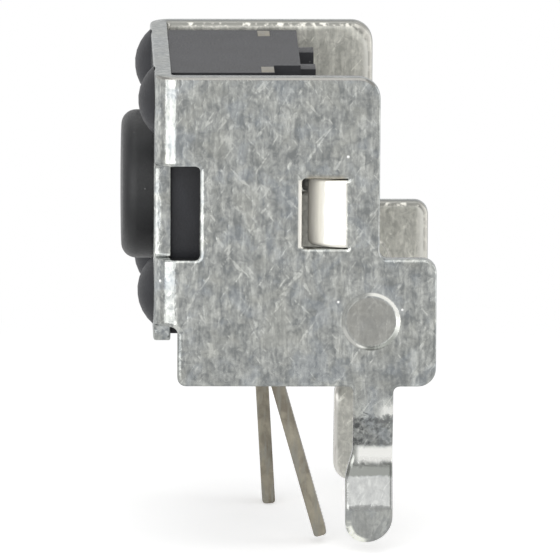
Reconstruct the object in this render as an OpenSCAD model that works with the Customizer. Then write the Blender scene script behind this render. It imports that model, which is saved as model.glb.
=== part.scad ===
// Side-push tactile switch for a circuit board: a 6 x 6 mm moulded switch held in a
// folded steel bracket whose two wings stand on the board.
// Millimetres. +Z is up, the button faces -Y and X runs from wing to wing. The origin
// is on the board's surface, midway between the two terminals.

/* [Housing] */
// Width of the housing, from wing to wing
housing_w = 6; // [5.6:0.1:7]
// Height of the housing
housing_h = 6.06; // [5.6:0.02:7]
// Depth of the housing, behind the bracket's front plate
housing_depth = 3; // [2.8:0.02:3.6]
// Height of the housing's underside above the board
housing_lift = 1.12; // [0.8:0.02:2]
// Distance from the terminals forward to the housing's front
housing_front = 2.18; // [2.1:0.02:2.4]
// Width of the feet on the housing's back
foot_w = 0.65; // [0.5:0.05:1.2]
// Height of the feet
foot_h = 0.6; // [0.4:0.05:1]
// How far the feet stand out
foot_out = 0.36; // [0.2:0.02:0.4]
// Distance between the feet's centres
foot_pitch = 2.08; // [1.6:0.02:3]
// Distance from the feet to the housing's top and bottom
foot_inset = 0.16; // [0:0.02:0.4]
// Width of the ledge along each upper side edge
ledge_w = 0.34; // [0.2:0.02:0.38]
// Depth of the ledges
ledge_h = 0.2; // [0.1:0.02:0.4]
// Depth of the pocket behind the right terminal's end
pocket_h = 0.3; // [0.1:0.02:0.5]

/* [Stakes] */
// Distance between the stakes, from wing to wing
stake_pitch = 4.6; // [4.4:0.1:4.8]
// Distance between the upper and the lower stakes
stake_rise = 4.48; // [4.4:0.02:4.6]
// How far the stakes' middle is above the housing's
stake_shift = 0.09; // [0:0.01:0.09]
// Diameter of a stake
stake_d = 0.95; // [0.7:0.05:1]
// Diameter of a stake's domed head
stake_head_d = 1.56; // [1.3:0.02:1.6]
// Height of a stake's head
stake_head_h = 0.36; // [0.2:0.01:0.4]

/* [Bracket] */
// Thickness of the steel sheet
sheet_t = 0.4; // [0.3:0.05:0.4]
// Gap between the housing and each wing
side_gap = 0.3; // [0.2:0.05:0.5]
// Outer radius of the two folds
fold_r = 0.5; // [0.45:0.05:0.7]
// How far the bracket stands above the housing
bracket_rise = 0.08; // [0:0.02:0.4]
// How far the front lip reaches below the housing
lip_drop = 0.16; // [0:0.02:0.2]
// Height of the front lip that is free below the folds
lip_h = 0.44; // [0.3:0.02:0.6]
// Height of the window cut in each fold
window_h = 2.18; // [1.6:0.02:2.6]
// Reach of the window behind the front plate
window_reach = 0.65; // [0.4:0.05:0.8]
// Reach of the wings' upper part behind the terminals
wing_back = 2.62; // [2.4:0.02:3]
// Reach of the wings' lower part behind the terminals
wing_foot_back = 3.94; // [3.6:0.01:4.4]
// Height of the step between the two, above the board
wing_step = 2.99; // [2.6:0.01:3.2]

/* [Tabs] */
// Height of the latch tab in each wing
tab_h = 1.6; // [1.2:0.05:1.8]
// Length of the tab's opening, from the housing's back
tab_opening = 1.05; // [1:0.05:1.3]
// Distance from the housing's back to the tab's free edge
tab_clear = 0.12; // [0.06:0.02:0.2]
// Outer radius of the tab's bend
tab_r = 1; // [0.8:0.05:1.1]
// Angle that the tab is bent inwards
tab_angle = 50; // [44:1:54]
// Gap left by the shears above and below the tab
shear_gap = 0.03; // [0.02:0.01:0.06]

/* [Dimples] */
// Diameter of the round dimple at the wing's face
dimple_d = 1.35; // [1:0.05:1.5]
// Diameter of the dimple's floor
dimple_floor_d = 1.18; // [0.8:0.02:1.3]
// Depth of the dimple
dimple_depth = 0.15; // [0.05:0.01:0.2]
// Distance from the dimple's centre to the wing's rear edge
dimple_inset = 1.51; // [1.2:0.01:1.8]
// Height of the dimple's centre above the board
dimple_lift = 1.54; // [1.2:0.02:1.8]

/* [Legs] */
// Length of the legs below the board's surface
leg_l = 3.67; // [3.4:0.01:4]
// Width of the legs at the wings
leg_w = 0.92; // [0.8:0.02:1.1]
// Width of the legs at the tips
leg_tip_w = 1.09; // [0.9:0.01:1.2]
// Distance from the terminals back to the right leg
leg_back_right = 2.5; // [2.2:0.01:2.7]
// Distance from the terminals back to the left leg
leg_back_left = 2.39; // [2:0.01:2.6]
// Distance of the kink's first bend below the board's surface
kink_start = 0.6; // [0.5:0.05:0.8]
// Distance of the kink's last bend below the board's surface
kink_end = 2.85; // [2.4:0.05:3]
// Depth of the kink between the lines of its straight runs
kink_depth = 0.48; // [0.2:0.02:0.6]

/* [Button] */
// Diameter of the button
button_d = 3.44; // [3:0.02:3.6]
// How far the button's middle is below the housing's
button_drop = 0.09; // [0:0.01:0.12]
// How far the button stands out of the front plate
button_out = 0.7; // [0.5:0.02:3]
// Travel of the button
travel = 0.25; // [0.15:0.01:0.25]
// Diameter of the flange that keeps the button in
flange_d = 4.3; // [4.1:0.1:4.4]
// Thickness of the flange
flange_t = 0.6; // [0.4:0.05:0.8]
// Diameter of the nub that presses the dome
nub_d = 1.6; // [1.2:0.1:2]
// Running clearance round the button and its flange
button_gap = 0.06; // [0.04:0.01:0.1]
// Radius of the button's front edge
button_edge_r = 0.34; // [0.1:0.02:0.4]

/* [Contacts] */
// Distance between the two terminals
terminal_pitch = 4.5; // [4.4:0.05:4.6]
// Width of a terminal strip
terminal_w = 0.7; // [0.5:0.05:0.8]
// Thickness of a terminal strip
terminal_t = 0.3; // [0.2:0.02:0.4]
// How far the right lead is set forward of its moulded strip
joggle_right = 0.07; // [0:0.01:0.14]
// How far the left lead is set forward of its moulded strip
joggle_left = 0.12; // [0:0.01:0.14]
// Length of a lead below its bend
lead_l = 4.9; // [4:0.05:6]
// Angle that the right lead is bent back
lead_angle_right = 16; // [0:0.5:18]
// Angle that the left lead is bent back
lead_angle_left = 3.5; // [0:0.5:18]
// Width of the arms that the contacts stand on
arm_w = 0.7; // [0.4:0.05:0.9]
// Diameter of the centre contact
pad_d = 1.2; // [0.8:0.1:1.6]
// Diameter of the snap dome
dome_d = 4; // [3.6:0.1:4.2]
// Thickness of the snap dome
dome_t = 0.07; // [0.05:0.01:0.1]
// Clearance round the snap dome
dome_gap = 0.08; // [0.04:0.02:0.12]

/* [Hidden] */
$fn = 64;

tiny = 0.01;
cut = 1; // how far a cutting solid runs past what it cuts
stake_play = 0.025;
corner_steps = 8;

// Planes of the assembly
back_y = housing_depth - housing_front;
plate_y = -housing_front;
face_y = plate_y - sheet_t;
housing_top = housing_lift + housing_h;
body_z = housing_lift + housing_h / 2; // the housing's middle
mid_z = body_z - button_drop; // the button's middle, and the windows' and tabs'
strip_y = 0.05;
floor_y = strip_y - terminal_t / 2;

// Bracket
wing_x = housing_w / 2 + side_gap; // a wing's inner face
wing_out_x = wing_x + sheet_t;
bracket_top = housing_top + bracket_rise;
lip_z = housing_lift - lip_drop;
fold_end_z = lip_z + lip_h;
fold_in_r = fold_r - sheet_t;
fold_x = wing_out_x - fold_r; // where the front plate turns into the fold
fold_y = face_y + fold_r;
notch = 0.05; // how far the wings' front edges are cut back beside the lip
hole_d = button_d + 2 * button_gap;
lip_corner_r = 0.2;
top_corner_r = 0.5;
foot_top_r = 0.32;
foot_corner_r = 0.42;
front_corner_r = 0.2;
step_fillet_r = 0.2;
root_fillet_r = 0.15;
window_corner_r = 0.1;

// Tabs: a bend, then a straight tip that ends at the named clearance
hinge_y = back_y + tab_opening;
tab_in_r = tab_r - sheet_t;
tab_tip_l = (tab_opening - tab_clear - tab_r * sin(tab_angle)) / cos(tab_angle);

// Legs: radii of the outer face at the kink's three bends
kink_r = [0.3, 0.6, 0.1];
kink_mid = (kink_start + kink_end) / 2;
leg_widen_right = 1.6; // where the right leg starts to widen, below the board's surface
leg_widen_left = 0.9;
leg_widen_run = 0.6;
leg_side_r = 0.5;
leg_tip_r = leg_tip_w * [0.41, 0.56]; // the tip's front and rear corners

// Button and dome
flange_y = plate_y + button_gap / 2;
dome_h = travel + dome_t;
dome_sphere_r = (pow(dome_d / 2, 2) + pow(dome_h, 2)) / (2 * dome_h);
nub_gap = 0.02;
nub_y = floor_y - dome_h - nub_gap;

// Cavity: a bore that guides the flange, and a shallower pocket that centres the dome
ledge_y = flange_y + flange_t + travel + 2 * button_gap;

// Contacts
strip_x = terminal_pitch / 2;
rim_arm_z = 1.2; // height of the rim contacts above and below the middle
rim_reach = 0.9; // how far the rim contacts reach in under the dome's rim
rim_arm_x = dome_d / 2 - rim_reach;
lead_edge_r = 0.08;
pocket_side = 0.15; // how far the pocket is wider than the strip, inwards

function unit(v) = v / norm(v);

// The arc that rounds a corner q, between its neighbours p and s, to the radius r
function corner_arc(p, q, s, r) =
    let (
        u = unit(p - q),
        v = unit(s - q),
        half = acos(u * v) / 2,
        mid = unit(u + v),
        centre = q + mid * r / sin(half),
        away = atan2(-mid[1], -mid[0]),
        swing = (90 - half) * (cross(u, v) > 0 ? -1 : 1)
    )
    [
        for (i = [0 : corner_steps])
            let (a = away + swing * (2 * i / corner_steps - 1))
                centre + r * [cos(a), sin(a)]
    ];

// An outline from corners [x, y, radius], where a radius of 0 leaves the corner sharp
function rounded(corners) =
    let (n = len(corners), at = [for (c = corners) [c[0], c[1]]])
    [
        for (i = [0 : n - 1])
            each corners[i][2] == 0
                ? [at[i]]
                : corner_arc(at[(i + n - 1) % n], at[i], at[(i + 1) % n], corners[i][2])
    ];

// Corners of a rectangle between two opposite corners, all with the same radius
function rectangle(a, b, r) = [[a[0], a[1], r], [b[0], a[1], r], [b[0], b[1], r], [a[0], b[1], r]];

// Extrudes a shape drawn in [y, z] along X, from x0 to x1
module along_x(x0, x1) {
    translate([x0, 0, 0])
        rotate([90, 0, 90])
            linear_extrude(x1 - x0) children();
}

// Extrudes a shape drawn in [x, z] along Y, from y0 to y1
module along_y(y0, y1) {
    translate([0, y1, 0])
        rotate([90, 0, 0])
            linear_extrude(y1 - y0) children();
}

// Extrudes a shape drawn in [x, y] along Z, from z0 to z1
module along_z(z0, z1) {
    translate([0, 0, z0])
        linear_extrude(z1 - z0) children();
}

// Places a child at each of the four stakes, in the front plate's plane
module at_stakes() {
    for (x = [-1, 1], z = [-1, 1])
        translate([x * stake_pitch / 2, 0, body_z + stake_shift + z * stake_rise / 2]) children();
}

// A round bar along Y
module bar_y(d, y0, y1) {
    translate([0, y1, 0])
        rotate([90, 0, 0])
            cylinder(d = d, h = y1 - y0);
}

// A quarter or less of a ring, from the direction +X turned by the given angle
module ring_sector(r_out, r_in, angle) {
    far = 2 * r_out;
    intersection() {
        difference() {
            circle(r = r_out);
            circle(r = r_in);
        }
        polygon([
            [0, 0],
            [far, 0],
            far * [cos(angle / 2), sin(angle / 2)] / cos(angle / 2),
            far * [cos(angle), sin(angle)]
        ]);
    }
}

// ---- Bracket ----

module front_plate() {
    along_y(face_y, plate_y)
        polygon(rounded([
            [-fold_x, lip_z, lip_corner_r],
            [fold_x, lip_z, lip_corner_r],
            [fold_x, bracket_top, 0],
            [-fold_x, bracket_top, 0]
        ]));
}

// The fold between the front plate and the right wing
module fold() {
    along_z(fold_end_z, bracket_top)
        translate([fold_x, fold_y])
            rotate(-90) ring_sector(fold_r, fold_in_r, 90);
}

// Outline of the right wing in [y, z], with the notch beside the front lip
module wing_outline() {
    front = fold_y + notch;
    polygon(rounded([
        [front, 0, front_corner_r],
        [wing_foot_back, 0, foot_corner_r],
        [wing_foot_back, wing_step, foot_top_r],
        [wing_back, wing_step, step_fillet_r],
        [wing_back, bracket_top, top_corner_r],
        [fold_y, bracket_top, 0],
        [fold_y, fold_end_z, 0],
        [front, fold_end_z, 0]
    ]));
}

// The root of a leg, with a fillet on each side, in [y, z]
module leg_root(leg_back) {
    half = leg_w / 2;
    polygon(rounded([
        [leg_back - half - 2 * root_fillet_r, 0, 0],
        [leg_back - half, 0, root_fillet_r],
        [leg_back - half, -2 * root_fillet_r, 0],
        [leg_back + half, -2 * root_fillet_r, 0],
        [leg_back + half, 0, root_fillet_r],
        [leg_back + half + 2 * root_fillet_r, 0, 0],
        [leg_back + half + 2 * root_fillet_r, root_fillet_r, 0],
        [leg_back - half - 2 * root_fillet_r, root_fillet_r, 0]
    ]));
}

// Outline of a leg in [y, z]: it widens forwards to a round tip
module leg_outline(leg_back, widen) {
    rear = leg_back + leg_w / 2;
    front = leg_back - leg_w / 2;
    tip_front = rear - leg_tip_w;
    polygon(rounded([
        [front, 0, 0],
        [front, -widen, leg_side_r],
        [tip_front, -widen - leg_widen_run, leg_side_r],
        [tip_front, -leg_l, leg_tip_r[0]],
        [rear, -leg_l, leg_tip_r[1]],
        [rear, 0, 0]
    ]));
}

// Section of the right leg in [x, z], with the inward kink that grips the board's hole
module leg_section() {
    slope = atan2(kink_depth, kink_mid - kink_start);
    drop = sheet_t * tan(slope / 2);
    deep_x = wing_out_x - kink_depth;
    inner_r = [max(kink_r[0] - sheet_t, tiny), kink_r[1] + sheet_t, tiny];
    polygon(rounded([
        [wing_out_x, 0, 0],
        [wing_out_x, -kink_start, kink_r[0]],
        [deep_x, -kink_mid, kink_r[1]],
        [wing_out_x, -kink_end, kink_r[2]],
        [wing_out_x, -leg_l - cut, 0],
        [wing_x, -leg_l - cut, 0],
        [wing_x, -kink_end - drop, inner_r[2]],
        [deep_x - sheet_t / cos(slope), -kink_mid, inner_r[1]],
        [wing_x, -kink_start + drop, inner_r[0]],
        [wing_x, 0, 0]
    ]));
}

module leg(leg_back, widen) {
    intersection() {
        along_x(0, wing_out_x + cut) leg_outline(leg_back, widen);
        along_y(leg_back - leg_tip_w, leg_back + leg_tip_w) leg_section();
    }
    along_x(wing_x, wing_out_x) leg_root(leg_back);
}

// The latch tab in [x, y]: hinged at its rear, with its free edge bent in behind the housing
module tab_section() {
    translate([wing_out_x - tab_r, hinge_y]) {
        translate([tab_in_r, -tiny]) square([sheet_t, 2 * tiny]);
        rotate(-tab_angle) ring_sector(tab_r, tab_in_r, tab_angle);
        rotate(-tab_angle)
            translate([tab_in_r, -tab_tip_l])
                square([sheet_t, tab_tip_l + tiny]);
    }
}

module tab_cut() {
    half = tab_h / 2 + shear_gap;
    along_x(wing_x - cut, wing_out_x + cut)
        polygon(rounded(rectangle([back_y, mid_z - half], [hinge_y, mid_z + half], shear_gap)));
}

module window_cut() {
    reach = plate_y + window_reach;
    along_x(fold_x, wing_out_x + cut)
        polygon(rounded(rectangle(
            [face_y - cut, mid_z - window_h / 2], [reach, mid_z + window_h / 2], window_corner_r)));
}

// A dimple pressed in from the right wing's outer face
module dimple_shape(x, d, floor_d) {
    translate([x - dimple_depth, wing_foot_back - dimple_inset, dimple_lift])
        rotate([0, 90, 0])
            cylinder(d1 = floor_d, d2 = d, h = dimple_depth + tiny);
}

module right_wing(leg_back, widen) {
    difference() {
        union() {
            along_x(wing_x, wing_out_x) wing_outline();
            fold();
            dimple_shape(wing_x, dimple_d, dimple_floor_d);
        }
        window_cut();
        tab_cut();
        dimple_shape(wing_out_x, dimple_d, dimple_floor_d);
    }
    along_z(mid_z - tab_h / 2, mid_z + tab_h / 2) tab_section();
    leg(leg_back, widen);
}

module bracket() {
    color([0.66, 0.66, 0.63]) {
        difference() {
            front_plate();
            translate([0, 0, mid_z]) bar_y(hole_d, face_y - cut, plate_y + cut);
            at_stakes() bar_y(stake_d + 2 * stake_play, face_y - cut, plate_y + cut);
        }
        right_wing(leg_back_right, leg_widen_right);
        mirror([1, 0, 0]) right_wing(leg_back_left, leg_widen_left);
    }
}

// ---- Housing ----

// A stake through the front plate, closed by a domed head
module stake() {
    head_r = stake_head_d / 2;
    sphere_r = (pow(head_r, 2) + pow(stake_head_h, 2)) / (2 * stake_head_h);
    bar_y(stake_d, face_y - tiny, plate_y + tiny);
    intersection() {
        translate([0, face_y - stake_head_h + sphere_r, 0]) sphere(r = sphere_r);
        bar_y(stake_head_d, face_y - stake_head_h - cut, face_y);
    }
}

// A foot on the housing's back, whose near edge is flush with z0
module foot(x, z0) {
    translate([x - foot_w / 2, back_y - tiny, z0]) cube([foot_w, foot_out + tiny, foot_h]);
}

// The ledges along the housing's upper side edges
module ledges() {
    for (side = [-1, 1])
        translate([side * housing_w / 2 - ledge_w, plate_y - tiny, housing_top - ledge_h])
            cube([2 * ledge_w, housing_depth + cut, ledge_h + cut]);
}

// The pocket behind the right terminal's end, open to the side and to the back
module pocket() {
    y0 = strip_y + terminal_t / 2;
    translate([strip_x - terminal_w / 2 - pocket_side, y0, housing_top - pocket_h])
        cube([housing_w, back_y - y0 + cut, pocket_h + cut]);
}

module housing() {
    color([0.14, 0.14, 0.15])
        difference() {
            union() {
                translate([-housing_w / 2, plate_y, housing_lift])
                    cube([housing_w, housing_depth, housing_h]);
                at_stakes() stake();
                for (x = [-1, 1]) {
                    foot(x * foot_pitch / 2, housing_lift + foot_inset);
                    foot(x * foot_pitch / 2, housing_top - foot_inset - foot_h);
                }
            }
            translate([0, 0, mid_z]) {
                bar_y(flange_d + 2 * button_gap, plate_y - tiny, ledge_y);
                bar_y(dome_d + 2 * dome_gap, plate_y, floor_y);
            }
            strip(1);
            rim_arms();
            strip(-1);
            centre_arm();
            ledges();
            pocket();
        }
}

// ---- Button ----

module button() {
    tip_y = face_y - button_out;
    r = button_d / 2;
    edge = button_edge_r;
    color([0.17, 0.17, 0.18])
        translate([0, 0, mid_z])
            rotate([-90, 0, 0]) {
                // Cap with a rounded front edge, turned about the travel's axis
                translate([0, 0, tip_y])
                    rotate_extrude() {
                        square([r - edge, edge + tiny]);
                        translate([0, edge]) square([r, flange_y - tip_y - edge + tiny]);
                        intersection() {
                            translate([r - edge, edge]) circle(r = edge);
                            square([r, edge + tiny]);
                        }
                    }
                translate([0, 0, flange_y]) cylinder(d = flange_d, h = flange_t);
                translate([0, 0, flange_y]) cylinder(d = nub_d, h = nub_y - flange_y);
            }
}

// ---- Contacts ----

// A shallow spherical dome whose rim stands on the cavity's floor
module contact_dome() {
    color([0.78, 0.77, 0.74])
        translate([0, floor_y, mid_z])
            rotate([90, 0, 0])
                difference() {
                    translate([0, 0, dome_h - dome_sphere_r]) sphere(r = dome_sphere_r, $fn = 180);
                    translate([0, 0, dome_h - dome_sphere_r])
                        sphere(r = dome_sphere_r - dome_t, $fn = 180);
                    translate([0, 0, -2 * dome_sphere_r])
                        cylinder(r = 2 * dome_sphere_r, h = 2 * dome_sphere_r);
                }
}

// The stretch of a terminal that is moulded into the housing, seen as a stub at its top
module strip(side) {
    translate([side * strip_x - terminal_w / 2, floor_y, housing_lift - terminal_t])
        cube([terminal_w, terminal_t, housing_h + terminal_t]);
}

// A lead, bent back from its root under the housing
module lead(side, angle, joggle) {
    translate([side * strip_x, strip_y - joggle, housing_lift - terminal_t / 2]) {
        rotate([0, 90, 0])
            translate([0, 0, -terminal_w / 2]) cylinder(d = terminal_t, h = terminal_w);
        rotate([angle, 0, 0])
            along_x(-terminal_w / 2, terminal_w / 2)
                polygon(rounded([
                    [-terminal_t / 2, 0, 0],
                    [-terminal_t / 2, -lead_l, lead_edge_r],
                    [terminal_t / 2, -lead_l, lead_edge_r],
                    [terminal_t / 2, 0, 0]
                ]));
    }
}

// The right terminal's two arms, flush with the cavity's floor, that carry the dome's rim
module rim_arms() {
    for (z = [-1, 1])
        translate([rim_arm_x, floor_y, mid_z + z * rim_arm_z - arm_w / 2])
            cube([strip_x - rim_arm_x, terminal_t, arm_w]);
}

// The left terminal's arm, which runs behind the floor to the pad under the dome's middle
module centre_arm() {
    rear = floor_y + terminal_t;
    translate([-strip_x, strip_y, mid_z - arm_w / 2]) cube([strip_x, rear - strip_y, arm_w]);
    translate([0, 0, mid_z]) bar_y(pad_d, floor_y, rear);
}

module terminal_right() {
    color([0.5, 0.47, 0.42]) {
        strip(1);
        rim_arms();
        lead(1, lead_angle_right, joggle_right);
    }
}

module terminal_left() {
    color([0.5, 0.47, 0.42]) {
        strip(-1);
        centre_arm();
        lead(-1, lead_angle_left, joggle_left);
    }
}

bracket();
housing();
button();
contact_dome();
terminal_right();
terminal_left();
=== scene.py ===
"""Looks of a side-push tactile switch in its folded steel bracket.

Lengths are in millimetres until a mesh, lamp or camera is made, and MM turns them into
metres. The button faces -Y, +Z is up, and the bracket's two wings stand across X.
"""

import math

import bmesh
import bpy
import numpy as np
from mathutils import Matrix, Quaternion, Vector, noise
from mathutils.geometry import delaunay_2d_cdt


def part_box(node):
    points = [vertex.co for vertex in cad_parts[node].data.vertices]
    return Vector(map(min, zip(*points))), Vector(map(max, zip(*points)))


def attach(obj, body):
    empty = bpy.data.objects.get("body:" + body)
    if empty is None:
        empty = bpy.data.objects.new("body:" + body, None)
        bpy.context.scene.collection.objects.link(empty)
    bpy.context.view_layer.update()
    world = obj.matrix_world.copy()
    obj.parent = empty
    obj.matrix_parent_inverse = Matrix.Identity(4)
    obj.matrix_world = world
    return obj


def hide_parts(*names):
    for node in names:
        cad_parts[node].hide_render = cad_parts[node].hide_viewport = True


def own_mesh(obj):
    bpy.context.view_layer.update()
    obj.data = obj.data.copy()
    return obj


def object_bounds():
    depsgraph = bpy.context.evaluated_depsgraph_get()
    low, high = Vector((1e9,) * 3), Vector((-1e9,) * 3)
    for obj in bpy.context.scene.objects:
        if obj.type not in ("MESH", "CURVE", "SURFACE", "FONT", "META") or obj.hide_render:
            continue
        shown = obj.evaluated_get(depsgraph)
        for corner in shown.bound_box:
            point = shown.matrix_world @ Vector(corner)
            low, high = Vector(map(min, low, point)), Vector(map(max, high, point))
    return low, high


MM = 0.001

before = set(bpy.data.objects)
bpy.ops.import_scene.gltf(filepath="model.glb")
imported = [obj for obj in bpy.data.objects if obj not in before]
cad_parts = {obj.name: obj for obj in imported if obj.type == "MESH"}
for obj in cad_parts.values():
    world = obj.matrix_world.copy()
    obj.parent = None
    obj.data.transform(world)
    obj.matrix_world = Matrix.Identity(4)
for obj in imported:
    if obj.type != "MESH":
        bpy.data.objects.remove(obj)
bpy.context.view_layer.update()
scene = bpy.context.scene


def node_box(name):
    """A CAD node's lowest and highest corners, in millimetres."""
    low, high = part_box(name)
    return low / MM, high / MM


# ---------------------------------------------------------------- sizes

BRACKET_LOW, BRACKET_HIGH = node_box("bracket")
BUTTON_LOW, BUTTON_HIGH = node_box("button")
DOME_LOW, DOME_HIGH = node_box("contact_dome")
HOUSING_BOTTOM = node_box("housing")[0].z
HOUSING_BACK = 0.82  # without its feet
MID_Z = (BUTTON_LOW.z + BUTTON_HIGH.z) / 2

# The bracket's sheet and its folds
SHEET = 0.4
WING_OUT = BRACKET_HIGH.x
WING_IN = WING_OUT - SHEET
FACE_Y = BRACKET_LOW.y
PLATE_Y = FACE_Y + SHEET
FOLD_R = 0.5
FOLD_IN_R = FOLD_R - SHEET
FOLD_X = WING_OUT - FOLD_R
FOLD_Y = FACE_Y + FOLD_R
FOLD_L = math.pi / 2 * (FOLD_IN_R + SHEET / 2)  # length of a fold in the flat blank
FOLD_STEPS = 12

# Its outline
TOP_Z = BRACKET_HIGH.z
TOP_CORNER_R = 0.5
WING_BACK = 2.62
WING_STEP = 2.99
STEP_FILLET_R = 0.2
FOOT_BACK = BRACKET_HIGH.y
FOOT_TOP_R = 0.32
FOOT_CORNER_R = 0.42
WING_FRONT = FOLD_Y + 0.05  # below the folds
FRONT_CORNER_R = 0.2
LIP_Z = HOUSING_BOTTOM - 0.16
LIP_CORNER_R = 0.2
FOLD_END_Z = LIP_Z + 0.44
FOLD_END_R = 0.12
NOTCH_R = 0.17

# Its holes
STAKE_X = 2.3
STAKE_Z = (2.0, 6.48)
STAKE_HOLE_R = 0.5
BUTTON_HOLE_R = 1.78
WINDOW_H = 2.18
WINDOW_BACK = PLATE_Y + 0.65
WINDOW_CORNER_R = 0.1

# Its dimples
DIMPLE_Y = FOOT_BACK - 1.51
DIMPLE_Z = 1.54
DIMPLE_R = 0.675
DIMPLE_FLOOR_R = 0.59
DIMPLE_DEPTH = 0.025

# Its latch tabs, each bent inwards at its hinge
TAB_HALF = 0.8
TAB_HINGE = HOUSING_BACK + 1.05
TAB_R = 0.8  # middle of the sheet
TAB_ANGLE = math.radians(50)
TAB_TIP = 0.255
TAB_FREE = TAB_HINGE - TAB_ANGLE * TAB_R - TAB_TIP
TAB_CORNER_R = 0.17
SLOT_CORNER_R = 0.08
SHEAR_GAP = 0.018

# Its legs, by side: 1 is the right one and -1 the left one
LEG_TIP_Z = BRACKET_LOW.z
LEG_W = 0.92
LEG_TIP_W = 1.09
LEG_TIP_FRONT_R = LEG_TIP_W * 0.41
LEG_TIP_REAR_R = LEG_TIP_W * 0.56
LEG_BACK = {1: 2.5, -1: 2.39}
LEG_FRONT = LEG_BACK[1] - LEG_W / 2
LEG_WIDENS = {1: -1.6, -1: -0.9}
LEG_WIDEN_RUN = 0.6
LEG_SIDE_R = 0.5
ROOT_FILLET_R = 0.15
KINK_START, KINK_MID, KINK_END = -0.6, -1.725, -2.85
KINK_START_EASE, KINK_MID_EASE, KINK_END_EASE = 0.13, 0.3, 0.05
KINK_DEPTH = 0.48

# The unevenness of pressed sheet
WAVE_H = 0.006
WAVE_RATE = (0.9, 0.9, 0.7)
WAVE_START = 0.4  # how far behind the fold the wings' waves reach their full height

# Rounded edges left by the punch: (width across the face, drop into the sheet)
OUTER_ROLL = (0.085, 0.06)
INNER_ROLL = (0.19, 0.09)
INNER_PLATE_SHARE = 0.35  # how much of the inner roll the front plate has
INNER_CORNER_EXTRA = 0.9  # and how much more of it the wings' top corners have
INNER_CORNER_REACH = 0.7
INNER_CORNER_INSET = 0.1

# The bracket's mesh
ROLL_STEPS = 5
FLAT_MARGIN = 0.015
EDGE_STEP = 0.055
ARC_TURN = 0.15
GRID_STEP = 0.115
ROW_STEP = GRID_STEP * 0.9
FOLD_CLEAR = 0.02
WING_COLUMN_OFFSET = GRID_STEP * 0.6
EDGE_CLEAR = GRID_STEP * 0.45
CIRCLE_CLEAR = GRID_STEP * 0.3
MIN_ARC_STEPS = 4
MIN_CIRCLE_STEPS = 16
BLOCK = 500  # points compared at a time
MERGE = 1e-7


# ---------------------------------------------------------------- flat outlines


def corner_arc(before, corner, after, radius):
    """Points of the arc that rounds a corner."""
    u, v = (before - corner).normalized(), (after - corner).normalized()
    half = math.acos(max(-1, min(1, u.dot(v)))) / 2
    centre = corner + (u + v).normalized() * (radius / math.sin(half))
    away = (corner - centre).normalized()
    turn = -1 if u.x * v.y - u.y * v.x > 0 else 1
    swing = (math.pi / 2 - half) * turn
    by_length = round(2 * abs(swing) * radius / EDGE_STEP)
    steps = max(MIN_ARC_STEPS, by_length, round(abs(swing) / ARC_TURN))
    turns = [swing * (2 * k / steps - 1) for k in range(steps + 1)]
    return [centre + radius * (Matrix.Rotation(a, 2) @ away) for a in turns]


def rounded(corners):
    """A closed outline from corners (x, y, radius). Straight runs are cut into short steps."""
    n = len(corners)
    places = [Vector((x, y)) for x, y, _ in corners]
    arcs = [
        corner_arc(places[i - 1], places[i], places[(i + 1) % n], corners[i][2])
        for i in range(n)
    ]
    outline = []
    for i, arc in enumerate(arcs):
        outline.extend(arc)
        start, end = arc[-1], arcs[(i + 1) % n][0]
        steps = max(1, round((end - start).length / EDGE_STEP))
        outline.extend(start.lerp(end, k / steps) for k in range(1, steps))
    return outline


def circle(x, y, radius, turn=-1):
    """A round outline, clockwise for a hole or with a turn of 1 the other way."""
    steps = max(MIN_CIRCLE_STEPS, round(2 * math.pi * radius / EDGE_STEP))
    angles = [turn * 2 * math.pi * k / steps for k in range(steps)]
    return [Vector((x + radius * math.cos(a), y + radius * math.sin(a))) for a in angles]


def flat_s(y):
    """Where a place on a wing lies in the flat blank, measured from the front plate's middle."""
    return FOLD_X + FOLD_L + (y - FOLD_Y)


def half_outline(side):
    """Corners (s, z, radius) of the blank's half on one side, from the lip to the top edge."""
    front, rear = flat_s(LEG_BACK[side] - LEG_W / 2), flat_s(LEG_BACK[side] + LEG_W / 2)
    tip_front = flat_s(LEG_BACK[side] + LEG_W / 2 - LEG_TIP_W)
    widens = LEG_WIDENS[side]
    return [
        (FOLD_X, LIP_Z, LIP_CORNER_R),
        (FOLD_X, FOLD_END_Z, FOLD_END_R),
        (flat_s(WING_FRONT), FOLD_END_Z, NOTCH_R),
        (flat_s(WING_FRONT), 0, FRONT_CORNER_R),
        (front, 0, ROOT_FILLET_R),
        (front, widens, LEG_SIDE_R),
        (tip_front, widens - LEG_WIDEN_RUN, LEG_SIDE_R),
        (tip_front, LEG_TIP_Z, LEG_TIP_FRONT_R),
        (rear, LEG_TIP_Z, LEG_TIP_REAR_R),
        (rear, 0, ROOT_FILLET_R),
        (flat_s(FOOT_BACK), 0, FOOT_CORNER_R),
        (flat_s(FOOT_BACK), WING_STEP, FOOT_TOP_R),
        (flat_s(WING_BACK), WING_STEP, STEP_FILLET_R),
        (flat_s(WING_BACK), TOP_Z, TOP_CORNER_R),
    ]


def blank_outline():
    """The blank's outer edge, with the sheet on its left."""
    right = half_outline(1)
    left = [(-s, z, r) for s, z, r in reversed(half_outline(-1))]
    return rounded(right + left)


def mirrored(outline, side):
    """The outline on its own side, still running the same way round."""
    return outline if side == 1 else [Vector((-p.x, p.y)) for p in reversed(outline)]


def window_outline():
    """The window in the right fold, with the sheet on its left."""
    low, high = MID_Z - WINDOW_H / 2, MID_Z + WINDOW_H / 2
    front, back, r = FOLD_X, flat_s(WINDOW_BACK), WINDOW_CORNER_R
    return rounded([(front, low, r), (front, high, r), (back, high, r), (back, low, r)])


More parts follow.
